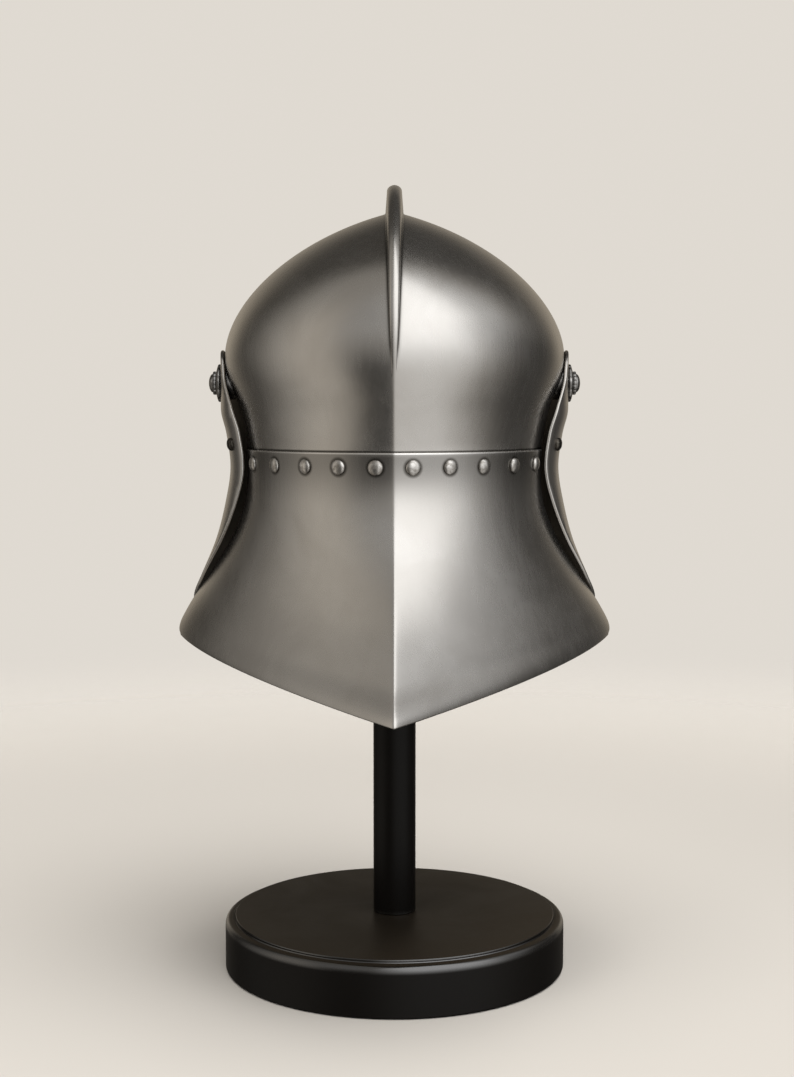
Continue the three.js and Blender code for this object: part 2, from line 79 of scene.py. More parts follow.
class Value:
    def __init__(self, graph, socket):
        self.graph = graph
        self.socket = socket

    def maths(self, operation, first, second):
        return self.graph.node("Math", {"operation": operation}, {0: first, 1: second})

    __add__ = operator("ADD")
    __radd__ = operator("ADD", True)
    __sub__ = operator("SUBTRACT")
    __rsub__ = operator("SUBTRACT", True)
    __mul__ = operator("MULTIPLY")
    __rmul__ = operator("MULTIPLY", True)

    def output(self, name):
        return Value(self.graph, self.socket.node.outputs[name])


class Graph:
    def __init__(self, tree):
        self.tree = tree
        tree.nodes.clear()

    def node(self, kind, settings=None, sockets=None, output=0):
        made = self.tree.nodes.new("ShaderNode" + kind)
        for name, value in (settings or {}).items():
            setattr(made, name, value)
        for key, value in (sockets or {}).items():
            if isinstance(value, Value):
                self.tree.links.new(value.socket, made.inputs[key])
            else:
                made.inputs[key].default_value = value
        return Value(self, made.outputs[output]) if made.outputs else made

    def mix(self, share, first, second):
        return self.node("Mix", {"data_type": "RGBA"}, {0: share, 6: first, 7: second}, 2)

    def vectors(self, operation, first, second=(0, 0, 0), output="Vector"):
        return self.node("VectorMath", {"operation": operation}, {0: first, 1: second}, output)

    def far(self, vector, place):
        return self.vectors("DISTANCE", vector, place, "Value")

    def height(self, place):
        return self.node("SeparateXYZ", {}, {0: place}, "Z")

    def ease(self, value, low, high):  # 0 below low, 1 above high, smooth between them
        settings = {"interpolation_type": "SMOOTHSTEP"}
        return self.node("MapRange", settings, {"Value": value, "From Min": low, "From Max": high})

    def window(self, value, low, high, soft):  # 1 between low and high, with soft edges
        half = soft / 2
        return self.ease(value, low - half, low + half) * (1 - self.ease(value, high - half, high + half))

    def grain(self, vector, scale, detail=2.0, rough=0.5, distortion=0.0):
        sockets = {"Vector": vector, "Scale": scale, "Detail": detail}
        return self.node("TexNoise", {}, {**sockets, "Roughness": rough, "Distortion": distortion})

    def bump(self, height, distance):
        return self.node("Bump", {}, {"Height": height, "Distance": distance, "Strength": 1.0})

    def marked(self, name):  # a value that was marked on the points of a piece
        return self.node("Attribute", {"attribute_name": name}, {}, "Fac")


def newMaterial(name, finish, *values):
    # a finish gives a Principled shader's values, or a shader of its own
    material = bpy.data.materials.new(name)
    material.use_nodes = True
    graph = Graph(material.node_tree)
    made = finish(graph, graph.node("TexCoord", output="Object"), *values)
    shader = made if isinstance(made, Value) else graph.node("BsdfPrincipled", {}, made)
    graph.node("OutputMaterial", {}, {"Surface": shader})
    return material


def grey(level, warmth=0.0):  # a colour whose red rises and blue falls with its warmth
    return (level * (1 + warmth), level, level * (1 - 1.4 * warmth), 1)


# Smooth lines and sections, the same ones that the frame's plates follow

def table(columns, *rows):  # a heading, then its rows
    return [dict(zip(columns.split(), row)) for row in rows]


def follow(rows, column):
    at = np.array([row["down"] for row in rows])
    value = np.array([row[column] for row in rows])
    last = len(rows) - 1
    slope = np.zeros(len(rows))
    for i in range(1, last):
        if (value[i + 1] - value[i]) * (value[i] - value[i - 1]) > 0:
            slope[i] = (value[i + 1] - value[i - 1]) / (at[i + 1] - at[i - 1])

    def line(where):
        t = np.clip(where, at[0], at[last])
        i = np.clip(np.searchsorted(at, t, side="right") - 1, 0, last - 1)
        span = at[i + 1] - at[i]
        u = (t - at[i]) / span
        rest = 1 - u
        return (value[i] * rest * rest * (1 + 2 * u) + value[i + 1] * u * u * (3 - 2 * u)
                + span * u * rest * (slope[i] * rest - slope[i + 1] * u))

    return line


def lines(rows):  # a smooth line down each column of a table
    return {column: follow(rows, column) for column in rows[0]}


pointPower = 0.72  # sides of a pointed section, straight near the point and round at the ends
creaseRound = 0.009  # half width of a rounded crease, as a share of the section's half width


def sectionDepth(share, point, fullness=2.0):
    across = np.minimum(np.abs(share), 1)
    full = (1 - across ** fullness) ** (1 / fullness)
    softened = (np.hypot(across, creaseRound) - creaseRound) / (math.hypot(1, creaseRound) - creaseRound)
    pointed = np.maximum(1 - softened, 0) ** pointPower
    return (1 - point) * full + point * pointed


def spline(points, steps):
    knots = [points[0], *points, points[-1]]
    line = [points[0]]
    for a, b, c, d in zip(knots, knots[1:], knots[2:], knots[3:]):
        for t in np.linspace(0, 1, steps + 1)[1:]:
            leave = 0.5 * (c - a)
            arrive = 0.5 * (d - b)
            line.append((2 * b - 2 * c + leave + arrive) * t ** 3
                        + (3 * c - 3 * b - 2 * leave - arrive) * t ** 2 + leave * t + b)
    return line


def bezier(points, steps):
    line = []
    for t in np.linspace(0, 1, steps + 1):
        left = list(points)
        while len(left) > 1:
            left = [a + (b - a) * t for a, b in zip(left, left[1:])]
        line.append(left[0])
    return line


def spot(ahead, height):
    return np.array([ahead, height], float)


# Mesh making

def gridFaces(rows, columns):
    return [(r * columns + c, r * columns + c + 1, (r + 1) * columns + c + 1, (r + 1) * columns + c)
            for r in range(rows - 1) for c in range(columns - 1)]


def weld(points, faces, reach=1e-3):
    keys = np.round(points[:, :3] / reach).astype(np.int64)
    _, first, where = np.unique(keys, axis=0, return_index=True, return_inverse=True)
    where = where.reshape(-1)
    kept = []
    for face in faces:
        ring = [int(where[i]) for i in face]
        ring = [v for k, v in enumerate(ring) if v != ring[k - 1]]
        if len(set(ring)) > 2:
            kept.append(ring)
    used = sorted({v for ring in kept for v in ring})
    place = {v: k for k, v in enumerate(used)}
    return points[first][used], [[place[v] for v in ring] for ring in kept]


def vertexNormals(points, faces):
    total = np.zeros((len(points), 3))
    for face in faces:
        ring = points[list(face), :3]
        across = np.cross(ring, np.roll(ring, -1, axis=0)).sum(axis=0)
        total[list(face)] += across
    return total / np.maximum(np.linalg.norm(total, axis=1), 1e-12)[:, None]


def facingOut(points, faces, centre):
    outward = (vertexNormals(points, faces) * (points[:, :3] - centre)).sum()
    return faces if outward > 0 else [face[::-1] for face in faces]


def trimSheet(points, faces, distance):
    # keeps the positive side of a distance, and lays the sheet's edge along its zero line
    snapShare = 0.32
    points = points.copy()
    gap = distance(points)
    ends = [(face[k - 1], face[k]) for face in faces for k in range(len(face))]
    edges = np.array(sorted({tuple(sorted(pair)) for pair in ends}))
    crossing = edges[gap[edges[:, 0]] * gap[edges[:, 1]] < 0]
    moves = {}
    for a, b in crossing:
        for corner, other in ((a, b), (b, a)):
            share = gap[corner] / (gap[corner] - gap[other])
            step = (points[other] - points[corner]) * share
            length = np.linalg.norm(step[:3])
            if share < snapShare and length < moves.get(corner, (np.inf, None))[0]:
                moves[corner] = (length, points[corner] + step)
    for corner, (length, place) in moves.items():
        points[corner] = place
        gap[corner] = 0
    added = []
    between = {}

    def crossingPoint(a, b):
        key = (min(a, b), max(a, b))
        if key not in between:
            share = gap[a] / (gap[a] - gap[b])
            between[key] = len(points) + len(added)
            added.append(points[a] + (points[b] - points[a]) * share)
        return between[key]

    kept = []
    for face in faces:
        ring = []
        for k in range(len(face)):
            a, b = face[k - 1], face[k]
            if gap[a] * gap[b] < 0:
                ring.append(crossingPoint(a, b))
            if gap[b] >= 0:
                ring.append(b)
        if len(ring) > 2 and any(gap[v] > 0 for v in face):
            kept.append(ring)
    return np.vstack([points, *added]), kept


def rimmedPlate(pairs, faces, rounding, steps=6):
    # a closed plate from its outer and inner sheets, with a half round strip along every edge. The last
    # value marks the inside, left dark as it was forged; that dark inside also paints the shade seen through
    # the gaps between plates.
    outer = pairs[:, :3]
    inner = pairs[:, 3:]
    count = len(pairs)
    forward = {(face[k - 1], face[k]) for face in faces for k in range(len(face))}
    border = [(a, b) for a, b in sorted(forward) if (b, a) not in forward]
    away = np.zeros((count, 3))
    for a, b in border:
        side = np.cross(outer[b] - outer[a], outer[a] - inner[a])
        side /= np.linalg.norm(side)
        away[a] += side
        away[b] += side
    rim = sorted({v for edge in border for v in edge})
    across = (outer[rim] - inner[rim]) / 2
    out = away[rim] / np.linalg.norm(away[rim], axis=1)[:, None]
    layers = []
    for k in range(1, steps):
        turn = math.pi * k / steps
        middle = (outer[rim] + inner[rim]) / 2
        layers.append(middle + across * math.cos(turn) + out * rounding * math.sin(turn))
    place = {v: k for k, v in enumerate(rim)}

    def at(v, k):
        if k == 0:
            return v
        return count + v if k == steps else 2 * count + (k - 1) * len(rim) + place[v]

    strip = [(at(b, k), at(a, k), at(a, k + 1), at(b, k + 1)) for a, b in border for k in range(steps)]
    inside = [[count + v for v in face[::-1]] for face in faces]
    forged = np.concatenate([np.zeros(count), np.ones(count), np.zeros(len(rim) * (steps - 1))])
    return np.vstack([outer, inner, *layers]), [*faces, *inside, *strip], forged


def turned(profile, steps, reach=None):
    # a profile of (radius, height) turned about Z. It starts and ends on the axis, or closes on itself.
    solid = profile[0][0] == 0 and profile[-1][0] == 0
    body = profile[1:-1] if solid else profile
    points = []
    for radius, height in body:
        for k in range(steps):
            angle = 2 * math.pi * k / steps
            here = reach(angle, radius, height) if reach else (radius, height)
            points.append((here[0] * math.cos(angle), here[0] * math.sin(angle), here[1]))
    rings = len(body)
    faces = []
    for r in range(rings - 1 if solid else rings):
        low = r * steps
        high = ((r + 1) % rings) * steps
        faces += [(low + k, low + (k + 1) % steps, high + (k + 1) % steps, high + k) for k in range(steps)]
    if solid:
        points += [(0, 0, profile[0][1]), (0, 0, profile[-1][1])]
        top = (rings - 1) * steps
        faces += [(rings * steps, (k + 1) % steps, k) for k in range(steps)]
        faces += [(rings * steps + 1, top + k, top + (k + 1) % steps) for k in range(steps)]
    return np.array(points, float), faces


def roundedProfile(corners, steps):
    # corners of (radius, height, rounding), each replaced by a short curve
    line = []
    for k, (x, y, rounding) in enumerate(corners):
        here = spot(x, y)
        if rounding == 0:
            line.append(here)
            continue
        before = spot(*corners[k - 1][:2]) - here
        after = spot(*corners[(k + 1) % len(corners)][:2]) - here
        start = here + before / np.linalg.norm(before) * rounding
        end = here + after / np.linalg.norm(after) * rounding
        line += bezier([start, here, end], steps)
    return [tuple(point) for point in line]


def mark(piece, name, values):
    piece.data.attributes.new(name, "FLOAT", "POINT").data.foreach_set("value", values)


def makePlate(name, pairs, faces, distance, material, body, node):
    # trims a pair of sheets to the positive side of a distance and closes them
    pairs, faces = trimSheet(pairs, faces, lambda points: distance(points) - edgeRound)
    pairs, faces = weld(pairs, faces)
    points, faces, forged = rimmedPlate(pairs, faces, edgeRound)
    piece = makePiece(name, points, faces, material, body, node)
    mark(piece, "forged", forged)
    return piece, points, forged


def newObject(name, points, faces, material):
    mesh = bpy.data.meshes.new(name)
    mesh.from_pydata((points[:, :3] * mm).tolist(), [], [list(face) for face in faces])
    mesh.materials.append(material)
    made = bpy.data.objects.new(name, mesh)
    scene.collection.objects.link(made)
    return made


def makePiece(name, points, faces, material, body, node, sharpAngle=60):
    piece = newObject(name, points, faces, material)
    piece.data.shade_smooth()
    piece.data.set_sharp_from_angle(angle=math.radians(sharpAngle))
    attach(piece, body)
    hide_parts(node)
    return piece


# Heights and widths that the plates share
rimHeight = 215.0
tailHeight = 117.5
neckHeight = 57.5
domeHeight = 91.0
pivotDrop = 16.0
halfWidth = 107.8
templeForward = 12.0
plate = 2.0
seatGap = 0.3
edgeRound = 0.7
farAway = 400.0
seamZ = rimHeight + tailHeight
widestZ = seamZ + neckHeight
pivotZ = widestZ - pivotDrop
pivotToRim = pivotZ - rimHeight
helmetCentre = np.array([0.0, templeForward, seamZ])

neckRows = table(
    "down girth nape",  # the nape, seen from the side, turns in more slowly
    (0.0, 1.0, 1.0),
    (0.18, 0.985, 0.992),
    (0.38, 0.948, 0.967),
    (0.6, 0.91, 0.928),
    (0.8, 0.888, 0.897),
    (1.0, 0.872, 0.872),
    (1.3, 0.866, 0.866),
)
neckLine = lines(neckRows)


def neckShare(z, column="girth"):
    return neckLine[column]((widestZ - z) / neckHeight)


hammering = {
    "broadLength": 95.0,
    "broadDepth": 0.22,
    "fineLength": 34.0,
    "fineDepth": 0.045,
}


def handHammered(pairs, normals):
    # a hand raised plate is never quite even, which shows in its reflections
    info = hammering
    lift = [noise.noise(Vector(p[:3]) / info["broadLength"]) * info["broadDepth"]
            + noise.noise(Vector(p[:3]) / info["fineLength"]) * info["fineDepth"] for p in pairs]
    step = normals * np.array(lift)[:, None]
    return np.hstack([pairs[:, :3] + step, pairs[:, 3:] + step])


def sideDistance(outline):
    # how far inside a side view outline each point lies
    start = np.array(outline)
    along = np.roll(start, -1, axis=0) - start

    def distance(points):
        seen = points[:, 1:3] - spot(templeForward, 0)
        nearest = np.full(len(seen), np.inf)
        inside = np.zeros(len(seen), bool)
        for a, edge in zip(start, along):
            share = np.clip((seen - a) @ edge / (edge @ edge), 0, 1)
            nearest = np.minimum(nearest, np.linalg.norm(seen - a - share[:, None] * edge, axis=1))
            spans = (a[1] > seen[:, 1]) != (a[1] + edge[1] > seen[:, 1])
            rise = edge[1] if edge[1] else 1.0
            inside ^= spans & (seen[:, 0] < a[0] + edge[0] * (seen[:, 1] - a[1]) / rise)
        return np.where(inside, nearest, -nearest)

    return distance


def evenShares(place, step, extra=(0.5, 1.1, 1.9, 3.0)):
    # shares of the half width at even steps along a section, with a few more beside its crease
    angles = np.radians(np.linspace(0, 90, 1500))
    line = np.array([place(math.sin(angle))[:2] for angle in angles])
    run = np.concatenate([[0], np.cumsum(np.linalg.norm(np.diff(line, axis=0), axis=1))])
    count = round((run[-1] - extra[-1]) / step)
    wanted = [*extra[:-1], *np.linspace(extra[-1], run[-1], count + 1)]
    half = np.sin(np.interp(wanted, run, angles))
    return np.concatenate([-half[::-1], [0], half])


# Finishes of the plates

steelInfo = {
    "bright": grey(0.64, 0.03),
    "dull": grey(0.54, 0.04),
    # painted shade, laid in a dark line along the comb's foot and in a ring round each rivet
    "stain": grey(0.055, 0.1),
    "stainShare": 0.85,
    "scale": grey(0.075, 0.14),  # the forged inside, dark also as painted shade for the gaps between plates
    "scaleWorn": grey(0.15, 0.12),
    "scaleRoughness": 0.62,
    "pitFine": 700.0,
    "pitDepth": 3.0,  # as a share of the brush marks
    "roughness": 0.27,
    "smudged": 0.1,  # what each adds to the roughness
    "clouded": 0.08,
    "streaked": 0.06,
    "smudgeSize": 0.05,  # metres across
    "brushFine": 800.0,  # lines to the metre
    "brushLong": 7.0,
    "brushDepth": 0.000012,
    "ringInside": 4.6,  # painted shade round a rivet, from its middle
    "ringOutside": 6.6,
    "ringRagged": 1.2,
}


def steelFinish(graph, place, info, bands=(), seats=()):
    fine, long, size = info["brushFine"], info["brushLong"], info["smudgeSize"]
    smudge = graph.grain(place, 1 / size, 3.0, 0.55, 0.6)
    cloud = graph.grain(place, 0.35 / size, 2.0, 0.5)
    stretched = graph.vectors("MULTIPLY", place, (fine, fine, long))
    brushed = graph.grain(stretched, 1.0, 2.0, 0.65)
    coarse = graph.grain(stretched, 0.31, 1.0, 0.5)
    patch = graph.ease(smudge, 0.3, 0.72) * 0.8 + 0.2 * (brushed - 0.5)
    colour = graph.mix(patch, info["dull"], info["bright"])
    for band in bands:  # darker or brighter near a seam: patina below it, a painted shadow line above it and a painted highlight along the tail's top edge
        edge = graph.height(place) + band["ragged"] * mm * (smudge - 0.5)
        share = graph.window(edge, band["from"] * mm, band["to"] * mm, band["soft"] * mm)
        colour = graph.mix(band["share"] * share, colour, band["colour"])
    # painted shade along the comb's foot, marked on the skull's points
    colour = graph.mix(info["stainShare"] * graph.marked("paintedShade"), colour, info["stain"])
    if seats:  # painted shade: a dark ring round each rivet, standing in for the contact shadow where its head meets the plate
        folded = graph.vectors("ABSOLUTE", place)
        rings = [graph.far(folded, [abs(value) * mm for value in seat]) for seat in seats]
        away = rings[0]
        for ring in rings[1:]:
            away = ring.maths("MINIMUM", away, ring)
        ragged = away + info["ringRagged"] * mm * (smudge - 0.5)
        paintedShade = 1 - graph.ease(ragged, info["ringInside"] * mm, info["ringOutside"] * mm)
        colour = graph.mix(info["stainShare"] * paintedShade, colour, info["stain"])
    rough = info["roughness"] + info["smudged"] * (smudge - 0.5) + info["clouded"] * (cloud - 0.5)
    rough = rough + info["streaked"] * (coarse - 0.5) + info["streaked"] * (brushed - 0.5)
    # the inside: forge scale, and painted shade where it shows through the gaps between plates
    inside = graph.ease(graph.marked("forged"), 0.35, 0.65)
    scale = graph.mix(graph.ease(smudge, 0.42, 0.66), info["scale"], info["scaleWorn"])
    pitted = graph.grain(place, info["pitFine"], 3.0, 0.6)
    height = 0.75 * brushed + 0.25 * coarse + info["pitDepth"] * inside * pitted
    return {
        "Base Color": graph.mix(inside, colour, scale),
        "Metallic": 1.0,
        "Roughness": rough + inside * (info["scaleRoughness"] + 0.1 * pitted - rough),
        "Normal": graph.bump(height, info["brushDepth"]),
    }


# Skull: a combed bowl with a crease down the nape and an opening for the face

skull = {
    "rear": 134.0,
    "front": 108.0,
    "roofShare": 0.4,
    "napeShare": 0.16,
    "browShare": 0.12,
    "combWidth": 11.6,
    "combHeight": 17.0,
    "combRearEnd": -5.0,
    "combFrontEnd": 42.0,
    "combFillet": 0.9,
    "combCrest": 0.85,  # width of the crest as a share of the foot
    "crestRound": 0.62,  # how far its rounding reaches down, as a share of half the foot
    "crestFlat": 0.74,  # 1 for a half round crest, less for a flatter one
    "combDraw": 20.0,  # how far from the comb the plate's columns are drawn in where it narrows
    # width of the painted shade along the comb's foot
    "footShade": 0.8,
    "thinnest": 0.25,
    "overlap": 14.5,
    "browDrop": 27.0,
    "cheekForward": 24.0,
    "cheekBack": 22.0,
    "cheekDrop": 4.0,
    "cheekCorner": 16.0,
    "step": 3.2,
}
browZ = widestZ - skull["browDrop"]


def combShare(angle):
    fromRear = (angle - skull["combRearEnd"]) / (90 - skull["combRearEnd"])
    fromFront = (180 - skull["combFrontEnd"] - angle) / (90 - skull["combFrontEnd"])
    along = min(max(min(fromRear, fromFront), 0), 1)
    return 1 - (1 - along) ** 1.7, max(along ** 0.36, skull["thinnest"])


def skullEnds(front):
    # depth from the temples and point of the section, in front of them or behind
    return (np.where(front, skull["front"], skull["rear"]),
            np.where(front, skull["browShare"], skull["napeShare"]))


def skullColumns(margin):
    # half of a section from the crest of the comb down its side and out to the temple
    half = skull["combWidth"] / 2 + margin
    tall = skull["combHeight"]
    fillet = skull["combFillet"] - margin
    crest = skull["combCrest"] * half
    flat = skull["crestFlat"]
    deep = skull["crestRound"] * half
    columns = [(crest * math.sin(turn) ** flat, deep * (1 - max(math.cos(turn), 0) ** flat))
               for turn in np.radians(np.linspace(0, 90, 11))]
    foot = tall - fillet
    columns += [(crest + (half - crest) * share, deep + (foot - deep) * share)
                for share in (0.2, 0.4, 0.6, 0.8, 1)]
    columns += [(half + fillet * (1 - math.cos(turn)), tall - fillet * (1 - math.sin(turn)))
                for turn in np.radians((22, 45, 68, 90))]
    wide = halfWidth + margin
    footAngle = math.asin(columns[-1][0] / wide)
    count = round(1.5 * halfWidth / skull["step"])
    turns = [footAngle + step / wide for step in (0.6, 1.5)]
    turns += [*np.linspace(footAngle, math.pi / 2, count + 1)[1:]]
    columns += [(wide * math.sin(angle), tall) for angle in turns]
    both = [(-x, drop) for x, drop in columns[:0:-1]] + columns
    return np.array(both), half + fillet


def skullRow(margin, angle=None, z=None, front=False):
    columns, footHalf = skullColumns(margin)
    wide = halfWidth + margin
    depth, sidePoint = skullEnds(front)
    if z is None:
        turn = math.radians(angle)
        girth = 1.0
        point = sidePoint + (skull["roofShare"] - sidePoint) * math.sin(turn) ** 2
    else:
        angle = 180.0 if front else -math.degrees(math.atan2(widestZ - z, skull["rear"]))
        turn = math.pi if front else 0.0
        girth = float(neckShare(z))
        point = sidePoint
    height, thin = combShare(angle)
    beyond = np.maximum(np.abs(columns[:, 0]) - footHalf, 0)
    drawnIn = np.minimum(np.abs(columns[:, 0]), footHalf) * (1 - thin) * np.exp(-beyond / skull["combDraw"])
    x = columns[:, 0] - np.sign(columns[:, 0]) * drawnIn
    scale = sectionDepth(x / wide, point)
    rise = (skull["combHeight"] - columns[:, 1]) * height
    deep = girth if front or z is None else float(neckShare(z, "nape"))
    y = templeForward - ((depth + margin) * scale * deep + rise) * math.cos(turn)
    if z is None:
        up = widestZ + ((domeHeight + margin) * scale + rise) * math.sin(turn)
    else:
        up = np.full(len(x), z)
    narrow = girth - (1 - girth) * margin / wide if z is not None else 1.0
    return np.column_stack([x * narrow, y, up])


def skullSheet(margin):
    edge = browZ + edgeRound
    low = seamZ - skull["overlap"] + edgeRound
    heights = [*np.linspace(low, edge, 15), *np.linspace(edge, widestZ, 10)[1:-1]]
    rows = [skullRow(margin, z=z) for z in heights]
    rows += [skullRow(margin, angle=angle, front=angle > 90) for angle in np.linspace(0, 180, 125)]
    rows += [skullRow(margin, z=z, front=True) for z in heights[::-1]]
    return rows


def faceOpening():
    cheekZ = seamZ - skull["cheekDrop"]
    forward = skull["cheekForward"]
    corner = skull["cheekCorner"]
    upper = spot(forward, browZ - corner)
    return [
        spot(farAway, browZ),
        *bezier([spot(forward + corner, browZ), spot(forward, browZ), upper], 10),
        *bezier([upper, spot(forward, cheekZ), spot(forward - corner, cheekZ)], 12)[1:],
        spot(-skull["cheekBack"], cheekZ),
        spot(-skull["cheekBack"], 0),
        spot(farAway, 0),
    ]


def footShade(points):
    # painted shade: 1 along the foot of the comb, fading away from it, standing in for the shade in the
    # valley where the comb meets the bowl
    ahead = points[:, 1] - templeForward
    depth = skullEnds(ahead > 0)[0]
    angles = np.degrees(np.arctan2((points[:, 2] - widestZ) / domeHeight, -ahead / depth))
    rise, thin = np.array([combShare(angle) for angle in angles]).T
    away = np.abs(points[:, 0]) - skull["combWidth"] / 2 * thin
    return np.exp(-(away / skull["footShade"]) ** 2) * np.clip(8 * rise, 0, 1)


def makeSkull(material):
    outer = skullSheet(0.0)
    inner = skullSheet(-plate)
    faces = gridFaces(len(outer), len(outer[0]))
    pairs = np.hstack([np.vstack(outer), np.vstack(inner)])
    pairs, faces = weld(pairs, faces)
    faces = facingOut(pairs, faces, helmetCentre)
    pairs = handHammered(pairs, vertexNormals(pairs, faces))
    opening = sideDistance(faceOpening())
    piece, points, forged = makePlate("skullPlate", pairs, faces, lambda points: -opening(points),
                                      material, "root", "skull")
    mark(piece, "paintedShade", footShade(points) * (1 - forged))


# Tail: the flared and keeled neck guard, riveted outside the skull

tail = {
    "flareWidth": 281.0,
    "reach": 197.0,
    "droop": 28.0,
    "corner": 11.0,
    "rivetShares": [0.113, 0.34, 0.55, 0.75, 0.905],
    "rivetDrop": 8.5,
    "step": 3.0,
    "sampled": 0.92,  # how far down the section is that the steps are even on
    "levels": 58,
}
tailRows = table(
    "down flare reach point droop",
    (0.13, 0.0, 0.0, 0.16, 0.0),
    (0.3, 0.045, 0.05, 0.24, 0.1),
    (0.48, 0.235, 0.2, 0.42, 0.28),
    (0.69, 0.555, 0.46, 0.68, 0.56),
    (0.88, 0.87, 0.78, 0.9, 0.82),
    (1.0, 1.0, 1.0, 1.0, 1.0),
)
tailEdgeRows = table(
    "back down",
    (0.82, 0.0),
    (0.8, 0.2),
    (0.6, 0.42),
    (0.33, 0.6),
    (0.1, 0.74),
    (0.04, 0.88),
)
tailLine = lines(tailRows)
neckHalf = halfWidth * neckShare(seamZ) + seatGap + plate
neckRear = skull["rear"] * neckShare(seamZ) + seatGap + plate
wrapBack = 36.0  # furthest that the visor's rear edge reaches behind the bolts


def tailPlace(share, down):
    girth = neckShare(seamZ - down * tailHeight) / neckShare(seamZ)
    wide = neckHalf * girth + (tail["flareWidth"] / 2 - neckHalf) * tailLine["flare"](down)
    deep = neckRear * girth + (tail["reach"] - neckRear) * tailLine["reach"](down)
    depth = sectionDepth(share, tailLine["point"](down))
    return np.array([
        wide * share,
        templeForward - deep * depth,
        seamZ - down * tailHeight - tail["droop"] * tailLine["droop"](down) * depth,
    ])


def tailOutline():
    below = rimHeight - tail["droop"] - 2 * plate
    spots = [spot(-row["back"] * wrapBack, seamZ - row["down"] * tailHeight) for row in tailEdgeRows]
    corner = spots[-1]
    turn = corner[0] - tail["corner"]
    return [
        spot(spots[0][0], seamZ + farAway),
        *spline(spots, 8),
        *bezier([corner, spot(corner[0], rimHeight), spot(turn, rimHeight - 1)], 10)[1:],
        spot(turn, below - farAway),
        spot(-farAway, below - farAway),
        spot(-farAway, seamZ + farAway),
    ]


def sheetPairs(rows):
    # outer and inner sheets a plate apart
    points = np.vstack(rows)
    faces = facingOut(points, gridFaces(len(rows), len(rows[0])), helmetCentre)
    normals = vertexNormals(points, faces)
    return handHammered(np.hstack([points, points - normals * plate]), normals), faces


def makeTail(material):
    shares = evenShares(lambda share: tailPlace(share, tail["sampled"]), tail["step"])
    inset = edgeRound / tailHeight
    levels = np.linspace(inset, 1 - inset, tail["levels"])
    rows = [np.column_stack(tailPlace(shares, down)) for down in levels]
    pairs, faces = sheetPairs(rows)
    makePlate("tailPlate", pairs, faces, sideDistance(tailOutline()), material, "root", "tail_plate")


# Visor: one plate from temple to temple, with an ear round each bolt

visor = {
    "clearance": 0.9,
    "neckWidth": 209.6,
    "flareWidth": 266.0,
    "reach": 135.0,
    "wrap": 65.0,
    "fullness": 2.5,
    "earRadius": 21.0,
    "sightGap": 8.0,
    "sightEnd": 84.0,  # ahead of the bolts, where the edge leaves the sight to rise over the brow
    "armStart": 60,  # degrees round the ear, where that edge meets it
    "armEnd": 172,
    "armRun": 1.4,
    "armBend": 0.72,
    "lift": 7.0,
    "rivetDrop": 38.5,
    "rivetBack": 0.68,
    "step": 3.0,
    "levelStep": 2.8,
}
visorRows = table(
    "down ear flare reach point",
    (-0.16, 1.0, 0.0, 0.86, 0.1),
    (0.1, 1.0, 0.0, 0.885, 0.14),
    (0.2, 0.42, 0.0, 0.915, 0.18),
    (0.33, 0.0, 0.0, 0.965, 0.25),
    (0.46, 0.0, 0.1, 0.995, 0.31),
    (0.62, 0.0, 0.33, 1.0, 0.34),
    (0.77, 0.0, 0.68, 0.985, 0.34),
    (0.87, 0.0, 0.92, 0.965, 0.32),
    (1.02, 0.0, 1.0, 0.94, 0.3),
)
visorEdgeRows = table(
    "back down",
    (0.79, 0.045),
    (0.955, 0.12),
    (1.0, 0.25),
    (0.985, 0.37),
    (0.87, 0.5),
    (0.68, 0.62),
    (0.44, 0.715),
    (0.2, 0.785),
    (-0.04, 0.84),
    (-0.34, 0.89),
)
visorLine = lines(visorRows)
earX = halfWidth + visor["clearance"] + plate


def visorPlace(share, z, ahead):
    down = (pivotZ - z) / pivotToRim
    neck = visor["neckWidth"] / 2
    flared = (visor["flareWidth"] / 2 - neck) * visorLine["flare"](down)
    wide = neck + (earX - neck) * visorLine["ear"](down) + flared
    deep = visor["reach"] * visorLine["reach"](down) if ahead else -visor["wrap"]
    point = visorLine["point"](down) if ahead else 0.0
    y = deep * sectionDepth(share, point, visor["fullness"])
    return np.array([wide * share, templeForward + y, z + 0 * share])


def wrapShare(back):
    # share of the half width, this far behind the bolts
    return (1 - (back / visor["wrap"]) ** visor["fullness"]) ** (1 / visor["fullness"])


def visorOutline():
    ear = visor["earRadius"]
    sightZ = browZ - visor["sightGap"]
    lowZ = rimHeight + visor["lift"]
    edge = [spot(-row["back"] * wrapBack, pivotZ - row["down"] * pivotToRim) for row in visorEdgeRows]
    start = visor["armStart"]
    ring = [spot(ear * math.cos(turn), pivotZ + ear * math.sin(turn))
            for turn in np.radians(np.linspace(start, visor["armEnd"], 24))]
    slope = spot(math.sin(math.radians(start)), -math.cos(math.radians(start))) * visor["armRun"] * ear
    sightEnd = visor["sightEnd"]
    bend = spot(visor["armBend"] * sightEnd, sightZ)
    corner = edge[-1]
    lower = [corner, spot(corner[0] + 0.3 * wrapBack, lowZ), spot(corner[0] + wrapBack, lowZ)]
    return [
        spot(farAway, sightZ),
        *bezier([spot(sightEnd, sightZ), bend, ring[0] + slope, ring[0]], 20),
        *ring[1:-1],
        *spline([ring[-1], *edge], 8),
        *bezier(lower, 10)[1:],
        spot(farAway, lowZ),
    ]


